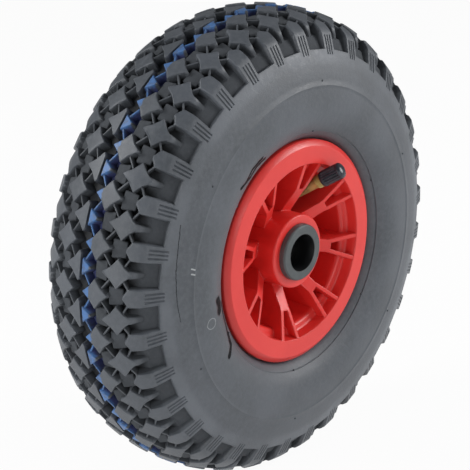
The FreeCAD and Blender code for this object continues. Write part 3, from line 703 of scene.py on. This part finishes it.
def make_cap():
    """Dust cap: fluted skirt with a plain rim, and a smooth domed end."""
    rows = [(CAP_INSIDE, CAP_CENTRE, 0), (CAP_INSIDE, CAP_BORE, 0)]
    rows += [(CAP_SKIRT + CAP_MOUTH[0], CAP_BORE, 0), (CAP_SKIRT, CAP_BORE + CAP_MOUTH[1], 0)]
    rows += [(CAP_SKIRT + distance, CAP_RADIUS - drop, 0) for distance, drop in CAP_RIM]
    first = CAP_SKIRT + CAP_FLUTE_ENDS[0]
    fluted = CAP_DOME_START - CAP_FLUTE_ENDS[1] - first
    for k in range(CAP_FLUTE_STEPS + 1):
        share = min(1.0, min(k, CAP_FLUTE_STEPS - k) / CAP_FLUTE_RUNOUT)
        rows.append((first + fluted * k / CAP_FLUTE_STEPS, CAP_RADIUS, share))
    dome = CAP_TIP - CAP_DOME_START
    for k in range(CAP_DOME_STEPS):
        angle = math.pi / 2 * k / CAP_DOME_STEPS
        rows.append((CAP_DOME_START + dome * math.sin(angle), CAP_RADIUS * math.cos(angle), 0))
    rows.append((CAP_TIP, CAP_CENTRE, 0))
    placed = [(STEM_LENGTH + distance, radius, share) for distance, radius, share in rows]

    def radius_at(row, turn):
        wave = np.cos(turn * CAP_FLUTES) + CAP_FLUTE_SHARE
        flute = np.maximum(0.0, wave) / (1 + CAP_FLUTE_SHARE)
        return row[1] - CAP_FLUTE_DEPTH * row[2] * flute

    made = lathe("dust_cap", placed, radius_at, "cap_plastic", False, CAP_SHARP)
    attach(made, "cap")
    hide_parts("valve_cap")


# Every material made here, by its name, because the loaded pieces may use the same names
MATERIALS = {}


class Shader:
    """A node material, with short calls that add its nodes from left to right."""

    def __init__(self, name):
        self.material = bpy.data.materials.new(name)
        MATERIALS[name] = self.material
        self.material.use_nodes = True
        self.tree = self.material.node_tree
        self.shader = self.tree.nodes["Principled BSDF"]
        self.place = self.add("ShaderNodeTexCoord").outputs["Object"]

    def add(self, kind, **settings):
        node = self.tree.nodes.new(kind)
        for key, value in settings.items():
            setattr(node, key, value)
        return node

    def put(self, socket, value):
        if isinstance(value, bpy.types.NodeSocket):
            self.tree.links.new(value, socket)
        else:
            socket.default_value = value

    def set(self, **values):
        for name, value in values.items():
            self.put(self.shader.inputs[name.replace("_", " ")], value)

    def math(self, operation, *values):
        node = self.add("ShaderNodeMath", operation=operation)
        for socket, value in zip(node.inputs, values):
            self.put(socket, value)
        return node.outputs[0]

    def vector(self, operation, *values, output=0):
        node = self.add("ShaderNodeVectorMath", operation=operation)
        for socket, value in zip(node.inputs, values):
            self.put(socket, value)
        return node.outputs[output]

    def attribute(self, name):
        return self.add("ShaderNodeAttribute", attribute_name=name).outputs["Fac"]

    def join(self, *values):
        node = self.add("ShaderNodeCombineXYZ")
        for socket, value in zip(node.inputs, values):
            self.put(socket, value)
        return node.outputs[0]

    def parts(self, vector):
        node = self.add("ShaderNodeSeparateXYZ")
        self.put(node.inputs[0], vector)
        return node.outputs

    def noise(self, scale, detail=4.0, roughness=0.55):
        node = self.add("ShaderNodeTexNoise")
        self.put(node.inputs["Vector"], self.place)
        self.put(node.inputs["Scale"], scale)
        self.put(node.inputs["Detail"], detail)
        self.put(node.inputs["Roughness"], roughness)
        return node.outputs["Fac"]

    def ramp(self, value, low, high, to_low=0.0, to_high=1.0):
        """A smooth step from one value to another, between two limits that may fall or rise."""
        node = self.add("ShaderNodeMapRange", interpolation_type="SMOOTHSTEP")
        for socket, item in zip(node.inputs, (value, low, high, to_low, to_high)):
            self.put(socket, item)
        return node.outputs[0]

    def varied(self, scale, detail=4.0, low=0.0, high=1.0):
        """Noise that is spread over a range of values."""
        return self.ramp(self.noise(scale, detail), 0.3, 0.7, low, high)

    def both(self, first, second):
        """Share of two shares at once."""
        return self.math("MULTIPLY", first, second)

    def mix(self, share, first, second):
        node = self.add("ShaderNodeMix", data_type="RGBA")
        self.put(node.inputs[0], share)
        self.put(node.inputs[6], first)
        self.put(node.inputs[7], second)
        return node.outputs[2]

    def bump(self, height, distance, strength=1.0, normal=None):
        """The shading of a height in metres, upon what another bump gives."""
        node = self.add("ShaderNodeBump")
        self.put(node.inputs["Strength"], strength)
        self.put(node.inputs["Distance"], distance)
        self.put(node.inputs["Height"], height)
        if normal is not None:
            self.put(node.inputs["Normal"], normal)
        return node.outputs[0]


def colour(red, green, blue):
    """A colour given as it looks on the screen, from 0 to 255."""
    parts = [c / 255 for c in (red, green, blue)]
    return (*[c / 12.92 if c <= 0.04045 else ((c + 0.055) / 1.055) ** 2.4 for c in parts], 1.0)


# Dark marks and chalk marks on the near side wall, as (arc length, degrees) along each line
DARK_LINES = (
    ((89.3, 187.0), (89.8, 199.5), (86.3, 208.5), (80.7, 210.2)),
    ((83.2, 184.0), (84.6, 186.5), (83.9, 189.2)),
    ((51.1, 157.5), (52.5, 164.0), (53.5, 172.5), (55.1, 181.2), (56.3, 185.2)),
    ((61.7, 79.0), (78.0, 71.0), (94.3, 62.8)),
    ((86.7, 119.8), (84.6, 126.0), (85.6, 131.5), (82.0, 138.0)),
    ((83.5, 121.5), (82.2, 129.0), (83.8, 134.0)),
)
DARK_HALF_WIDTHS = (1.5, 2.3, 0.14, 0.2, 1.0, 0.75)
DARK_FADE = (0.7, 1.4)
CHALK_LINES = (((62.2, 169.6), (64.3, 169.9)), ((62.5, 171.2), (64.6, 171.5)))
CHALK_HALF_WIDTH = 0.32
CHALK_FADE = (0.6, 1.6)
CHALK_RING = (75.5, 191.2)
CHALK_RING_RADIUS = 3.1
CHALK_RING_FADE = (0.1, 0.4, 0.5, 0.0)
WANDER = 1.6
WALL_RADIUS = 90.0
DEGREE = WALL_RADIUS * math.radians(1.0)


def stroke(look, flat, line, half_width, fade):
    """Share of a broken line on the side wall, full at its middle and nothing past its edge."""
    nearest = None
    for start, end in zip(line, line[1:]):
        first = Vector((start[0], start[1] * DEGREE, 0.0))
        along = Vector((end[0], end[1] * DEGREE, 0.0)) - first
        offset = look.vector("SUBTRACT", flat, tuple(first))
        share = look.vector("DOT_PRODUCT", offset, tuple(along / along.length_squared), output=1)
        share = look.math("MINIMUM", look.math("MAXIMUM", share, 0.0), 1.0)
        foot = look.vector("MULTIPLY", look.join(share, share, share), tuple(along))
        distance = look.vector("LENGTH", look.vector("SUBTRACT", offset, foot), output=1)
        nearest = distance if nearest is None else look.math("MINIMUM", nearest, distance)
    return look.ramp(nearest, half_width * fade[0], half_width * fade[1], 1.0, 0.0)


def wall_marks(look, near):
    """Shares of dark and of chalk on the near side wall."""
    wander = look.math("MULTIPLY_ADD", look.noise(330.0), WANDER, -WANDER / 2)
    turn = look.both(look.attribute("degrees"), DEGREE)
    flat = look.join(look.math("ADD", look.attribute("arc"), wander), turn, 0.0)
    patchy = look.ramp(look.noise(520.0, 4.0, 0.7), 0.22, 0.42)
    dark = 0.0
    for line, half_width in zip(DARK_LINES, DARK_HALF_WIDTHS):
        dark = look.math("MAXIMUM", dark, stroke(look, flat, line, half_width, DARK_FADE))
    chalk = 0.0
    for line in CHALK_LINES:
        chalk = look.math("MAXIMUM", chalk, stroke(look, flat, line, CHALK_HALF_WIDTH, CHALK_FADE))
    centre = (CHALK_RING[0], CHALK_RING[1] * DEGREE, 0.0)
    off_ring = look.math("SUBTRACT", look.vector("DISTANCE", flat, centre, output=1), CHALK_RING_RADIUS)
    chalk = look.math("MAXIMUM", chalk, look.ramp(look.math("ABSOLUTE", off_ring), *CHALK_RING_FADE))
    return look.both(look.both(dark, patchy), near), look.both(look.both(chalk, patchy), near)


# Limits of the rubber's colours: depths and arc lengths in millimetres, places in metres
SHADE = (0.25, 2.0, 0.0, 0.5)
DEEP_SHADE = (3.2, 6.0, 0.0, 0.75)
# Arc lengths where the painted highlight band below the lugs fades in, and where it fades out
HIGHLIGHT_BAND_START = (44.5, 47.0)
HIGHLIGHT_BAND_END = (50.0, 54.5, 1.0, 0.0)
MARKED_SIDE = (-0.02, -0.015, 1.0, 0.0)
MARKED_HALF = (-0.002, 0.002, 1.0, 0.0)
LINE_START = (-0.0076, -0.0069)
LINE_END = (-0.0026, -0.0031)
LINE_RADIUS = (0.119, 0.121)
LINE_RAGGED = 0.0024


def radius_of(look):
    """Distance of a point from the axle, in metres."""
    return look.vector("LENGTH", look.vector("MULTIPLY", look.place, (1.0, 0.0, 1.0)), output=1)


def painted_line(look, y):
    """Share of the blue line beside the parting groove, worn and ragged at its edges."""
    ragged = look.math("MULTIPLY_ADD", look.noise(260.0, 3.0), LINE_RAGGED, -LINE_RAGGED / 2)
    across = look.math("ADD", y, ragged)
    line = look.both(look.ramp(across, *LINE_START), look.ramp(across, *LINE_END))
    line = look.both(line, look.ramp(radius_of(look), *LINE_RADIUS))
    return look.both(line, look.ramp(look.noise(330.0, 5.0, 0.7), 0.34, 0.56, 0.35, 1.0))


def rubber_material():
    """Black rubber: painted shade and a duller finish in the grooves, a painted highlight band below the
    lugs, with its line and marks.
    """
    look = Shader("tyre_rubber")
    x, y, _ = look.parts(look.place)
    depth = look.attribute("relief")
    cloud = look.noise(28.0, 5.0)
    grain = look.noise(420.0, 6.0, 0.65)
    base = look.mix(look.ramp(cloud, 0.3, 0.7), colour(66, 71, 77), colour(80, 85, 92))
    base = look.mix(look.ramp(grain, 0.35, 0.75, 0.0, 0.35), base, colour(104, 108, 114))
    # Darker with depth: painted shade in the grooves and pockets
    base = look.mix(look.ramp(depth, *SHADE), base, colour(34, 37, 40))
    base = look.mix(look.ramp(depth, *DEEP_SHADE), base, colour(18, 19, 21))
    dark, chalk = wall_marks(look, look.both(look.ramp(x, *MARKED_HALF), look.ramp(y, *MARKED_SIDE)))
    arc = look.attribute("arc")
    # A lighter band below the lugs: a painted highlight along the shoulder
    shoulder_highlight = look.both(look.ramp(arc, *HIGHLIGHT_BAND_START), look.ramp(arc, *HIGHLIGHT_BAND_END))
    base = look.mix(look.both(shoulder_highlight, look.ramp(cloud, 0.35, 0.6, 0.25, 0.75)), base, colour(98, 103, 110))
    base = look.mix(look.both(dark, 0.95), base, colour(9, 10, 12))
    base = look.mix(look.both(chalk, 0.8), base, colour(178, 182, 184))
    # The blue paint turns purple in the grooves, and darker with depth as painted shade
    paint_and_groove_shade = look.mix(look.ramp(depth, 0.6, 3.0), colour(66, 108, 162), colour(58, 66, 116))
    base = look.mix(painted_line(look, y), base, paint_and_groove_shade)
    dry = look.ramp(depth, 0.3, 1.5, 0.0, 0.85)
    rough = look.math("MAXIMUM", look.ramp(grain, 0.3, 0.7, 0.42, 0.56), dry)
    look.set(Base_Color=base, Roughness=rough, Specular_IOR_Level=look.ramp(dark, 0.0, 1.0, 0.55, 0.06))
    fine = look.bump(look.noise(1500.0, 4.0, 0.6), 0.00012, 0.5)
    look.set(Normal=look.bump(dark, -0.0009, 1.0, look.bump(grain, 0.0004, 0.35, fine)))


def red_material():
    """Moulded red plastic, a little glossy, with softened edges."""
    look = Shader("red_plastic")
    base = look.mix(look.varied(40.0, 3.0), colour(220, 50, 46), colour(227, 55, 50))
    look.set(Base_Color=base, Roughness=look.varied(300.0, 4.0, 0.30, 0.38))
    soft = look.add("ShaderNodeBevel", samples=6)
    look.put(soft.inputs["Radius"], 0.0009)
    look.set(Normal=look.bump(look.noise(700.0, 3.0), 0.00006, 0.3, soft.outputs[0]))


PLAIN_SCALE = 90.0
PLAIN_SPREAD = 0.06
GRAIN = (0.00005, 0.4)


def plain_material(name, first, second, roughness, metallic):
    """A cloudy mix of two colours with a fine grain."""
    look = Shader(name)
    base = look.mix(look.varied(PLAIN_SCALE), colour(*first), colour(*second))
    rough = look.varied(PLAIN_SCALE * 3, 4.0, roughness - PLAIN_SPREAD, roughness + PLAIN_SPREAD)
    look.set(Base_Color=base, Roughness=rough, Metallic=metallic)
    look.set(Normal=look.bump(look.noise(900.0), *GRAIN))


# Radii, in metres, across which the bore's painted shade sets in
BORE_EDGE = (0.0103, 0.0108, 1.0, 0.0)


def bush_material():
    """Grey plastic, with painted shade that makes the bore near black."""
    look = Shader("bush_plastic")
    base = look.mix(look.varied(120.0), colour(66, 72, 74), colour(78, 84, 86))
    # Painted shade: the bore goes near black inside this radius
    base = look.mix(look.ramp(radius_of(look), *BORE_EDGE), base, colour(24, 25, 27))
    look.set(Base_Color=base, Roughness=look.varied(300.0, 4.0, 0.38, 0.5))
    look.set(Normal=look.bump(look.noise(900.0), *GRAIN))


DULL_FROM = (-0.034, -0.027)


def brass_material():
    """Brass that is bright at the thread and dull towards the elbow."""
    look = Shader("brass")
    bright = look.mix(look.varied(200.0), colour(178, 154, 90), colour(206, 184, 120))
    # A darker, duller brass towards the elbow, deeper inside the wheel
    darker_brass = look.mix(look.ramp(look.noise(400.0), 0.35, 0.65), colour(116, 106, 60), colour(150, 134, 80))
    dull = look.ramp(look.parts(look.place)[1], *DULL_FROM)
    rough = look.ramp(dull, 0.0, 1.0, 0.36, 0.6)
    metallic = look.ramp(dull, 0.0, 1.0, 0.35, 0.0)
    look.set(Base_Color=look.mix(dull, bright, darker_brass), Roughness=rough, Metallic=metallic)
    look.set(Normal=look.bump(look.noise(900.0), *GRAIN))


def cap_material():
    """Dark glossy plastic of the dust cap."""
    look = Shader("cap_plastic")
    base = look.mix(look.varied(300.0), colour(40, 43, 51), colour(52, 56, 65))
    look.set(Base_Color=base, Roughness=look.varied(900.0, 4.0, 0.17, 0.26), Specular_IOR_Level=0.38)
    look.set(Normal=look.bump(look.noise(1500.0, 3.0), 0.00003, 0.3))


WELD_DISTANCE = 0.002
BEVEL_STEPS = 2
BEVEL_ABOVE = math.radians(32.0)


def finish_node(name, material_name, bevel):
    """Gives a CAD node its material, and rounds its edges a little."""
    node = nodes[name]
    node.data.materials.clear()
    node.data.materials.append(MATERIALS[material_name])
    if bevel:
        weld = node.modifiers.new("weld", "WELD")
        weld.merge_threshold = WELD_DISTANCE * MM
        edge = node.modifiers.new("bevel", "BEVEL")
        edge.width = bevel * MM
        edge.segments = BEVEL_STEPS
        edge.limit_method = "ANGLE"
        edge.angle_limit = BEVEL_ABOVE


# Plain materials, as (name, two colours, roughness, metallic)
PLAIN_MATERIALS = (
    ("cage_plastic", (46, 47, 48), (56, 57, 57), 0.5, 0.0),
    ("steel", (150, 152, 156), (176, 178, 182), 0.3, 1.0),
    ("spring_steel", (140, 142, 150), (165, 168, 176), 0.28, 1.0),
    ("seal_rubber", (30, 30, 32), (40, 40, 42), 0.6, 0.0),
    ("tube_rubber", (36, 36, 38), (48, 48, 50), 0.6, 0.0),
)


def make_materials():
    rubber_material()
    red_material()
    bush_material()
    cap_material()
    brass_material()
    for values in PLAIN_MATERIALS:
        plain_material(*values)


# Material of each CAD node, and the bevel of its edges. The rollers take steel with a small bevel.
ROLLER_FINISH = ("steel", 0.1)
NODE_MATERIALS = {
    "rim": ("red_plastic", 0.35),
    "tyre": ("tyre_rubber", 0.0),
    "inner_tube": ("tube_rubber", 0.0),
    "end_bush_front": ("bush_plastic", 0.25),
    "end_bush_back": ("bush_plastic", 0.25),
    "bearing_sleeve": ("steel", 0.15),
    "roller_cage": ("cage_plastic", 0.1),
    "valve_stem": ("brass", 0.15),
    "valve_core_body": ("brass", 0.1),
    "valve_core_gasket": ("seal_rubber", 0.1),
    "valve_pin": ("brass", 0.08),
    "valve_pin_seal": ("seal_rubber", 0.1),
    "valve_spring": ("spring_steel", 0.0),
    "valve_cap": ("cap_plastic", 0.12),
    "valve_cap_seal": ("seal_rubber", 0.1),
}


def finish_nodes():
    for name in nodes:
        finish_node(name, *NODE_MATERIALS.get(name, ROLLER_FINISH))


# The photograph's view
VIEW_AZIMUTH = -49.4
VIEW_ELEVATION = 18.7
VIEW_DISTANCE = 0.798
VIEW_LENS = 110.07
VIEW_SENSOR = 36.0
VIEW_SHIFT = (-0.0317, 0.0072)


def towards(azimuth, elevation):
    """Direction from the wheel's centre, by degrees round from the near side and up."""
    turn = math.radians(azimuth)
    rise = math.radians(elevation)
    return Vector((math.sin(turn) * math.cos(rise), -math.cos(turn) * math.cos(rise), math.sin(rise)))


def aim(name, data, back, distance):
    """Puts a camera or a lamp at a distance, looking at the wheel's centre."""
    made = bpy.data.objects.new(name, data)
    bpy.context.scene.collection.objects.link(made)
    made.location = back * distance
    made.rotation_mode = "QUATERNION"
    made.rotation_quaternion = (-back).to_track_quat("-Z", "Y")
    return made


def make_camera():
    data = bpy.data.cameras.new("camera")
    data.lens = VIEW_LENS
    data.sensor_width = VIEW_SENSOR
    data.shift_x, data.shift_y = VIEW_SHIFT
    bpy.context.scene.camera = aim("camera", data, towards(VIEW_AZIMUTH, VIEW_ELEVATION), VIEW_DISTANCE)


# Soft lamps, as (name, azimuth, elevation, distance, size, power)
LAMPS = (
    ("right", 48.0, 24.0, 1.7, 0.9, 18.0),
    ("left", -86.0, 6.0, 1.6, 0.8, 8.0),
    ("back_left", -128.0, 34.0, 1.6, 0.7, 14.0),
    ("front", -8.0, 14.0, 1.7, 0.7, 4.0),
)


def make_light(name, azimuth, elevation, distance, size, power):
    """A soft lamp that looks at the wheel. Its azimuth and elevation are counted as the camera's."""
    data = bpy.data.lights.new(name, "AREA")
    data.shape = "DISK"
    data.size = size
    data.energy = power
    aim(name, data, towards(azimuth, elevation), distance)


WORLD_LIGHT = 0.2


def make_world():
    """Even white light, and a white background where the camera sees past the wheel."""
    world = bpy.data.worlds.new("studio")
    bpy.context.scene.world = world
    world.use_nodes = True
    tree = world.node_tree
    tree.nodes.clear()
    output = tree.nodes.new("ShaderNodeOutputWorld")
    path = tree.nodes.new("ShaderNodeLightPath")
    seen = tree.nodes.new("ShaderNodeMath")
    seen.operation = "MAXIMUM"
    share = tree.nodes.new("ShaderNodeMixShader")
    tree.links.new(path.outputs["Is Camera Ray"], seen.inputs[0])
    tree.links.new(path.outputs["Is Transmission Ray"], seen.inputs[1])
    tree.links.new(seen.outputs[0], share.inputs[0])
    for socket, strength in zip((share.inputs[1], share.inputs[2]), (WORLD_LIGHT, 1.0)):
        background = tree.nodes.new("ShaderNodeBackground")
        background.inputs["Color"].default_value = (1.0, 1.0, 1.0, 1.0)
        background.inputs["Strength"].default_value = strength
        tree.links.new(background.outputs[0], socket)
    tree.links.new(share.outputs[0], output.inputs[0])


FLOOR_GLOW = 0.95
FLOOR_COLOUR = (0.92, 0.92, 0.92, 1.0)
FLOOR_ROUGHNESS = 0.9
FLOOR_REACH = 6.0


def floor_material():
    """A pale floor that stays white behind the wheel and keeps some of its shadow."""
    look = Shader("floor")
    look.set(Base_Color=FLOOR_COLOUR, Roughness=FLOOR_ROUGHNESS)
    glow = look.add("ShaderNodeEmission")
    look.put(glow.inputs["Strength"], 1.0)
    path = look.add("ShaderNodeLightPath").outputs
    seen = look.math("MAXIMUM", path["Is Glossy Ray"], path["Is Transmission Ray"])
    seen = look.math("MAXIMUM", path["Is Camera Ray"], seen)
    share = look.add("ShaderNodeMixShader")
    look.put(share.inputs[0], look.both(seen, FLOOR_GLOW))
    look.put(share.inputs[1], look.shader.outputs[0])
    look.put(share.inputs[2], glow.outputs[0])
    look.put(look.tree.nodes["Material Output"].inputs["Surface"], share.outputs[0])


def make_floor():
    """A square floor, in metres, that touches the tyre."""
    floor_material()
    corners = [(-1, -1), (1, -1), (1, 1), (-1, 1)]
    points = [(x * FLOOR_REACH, y * FLOOR_REACH, -TYRE_RADIUS * MM) for x, y in corners]
    make_object("floor", points, [(0, 1, 2, 3)], "floor")


make_materials()
finish_nodes()
make_tyre()
make_stem()
make_spring()
make_cap()
make_camera()
make_world()
make_floor()
for lamp in LAMPS:
    make_light(*lamp)
bpy.context.scene.view_settings.view_transform = "Standard"
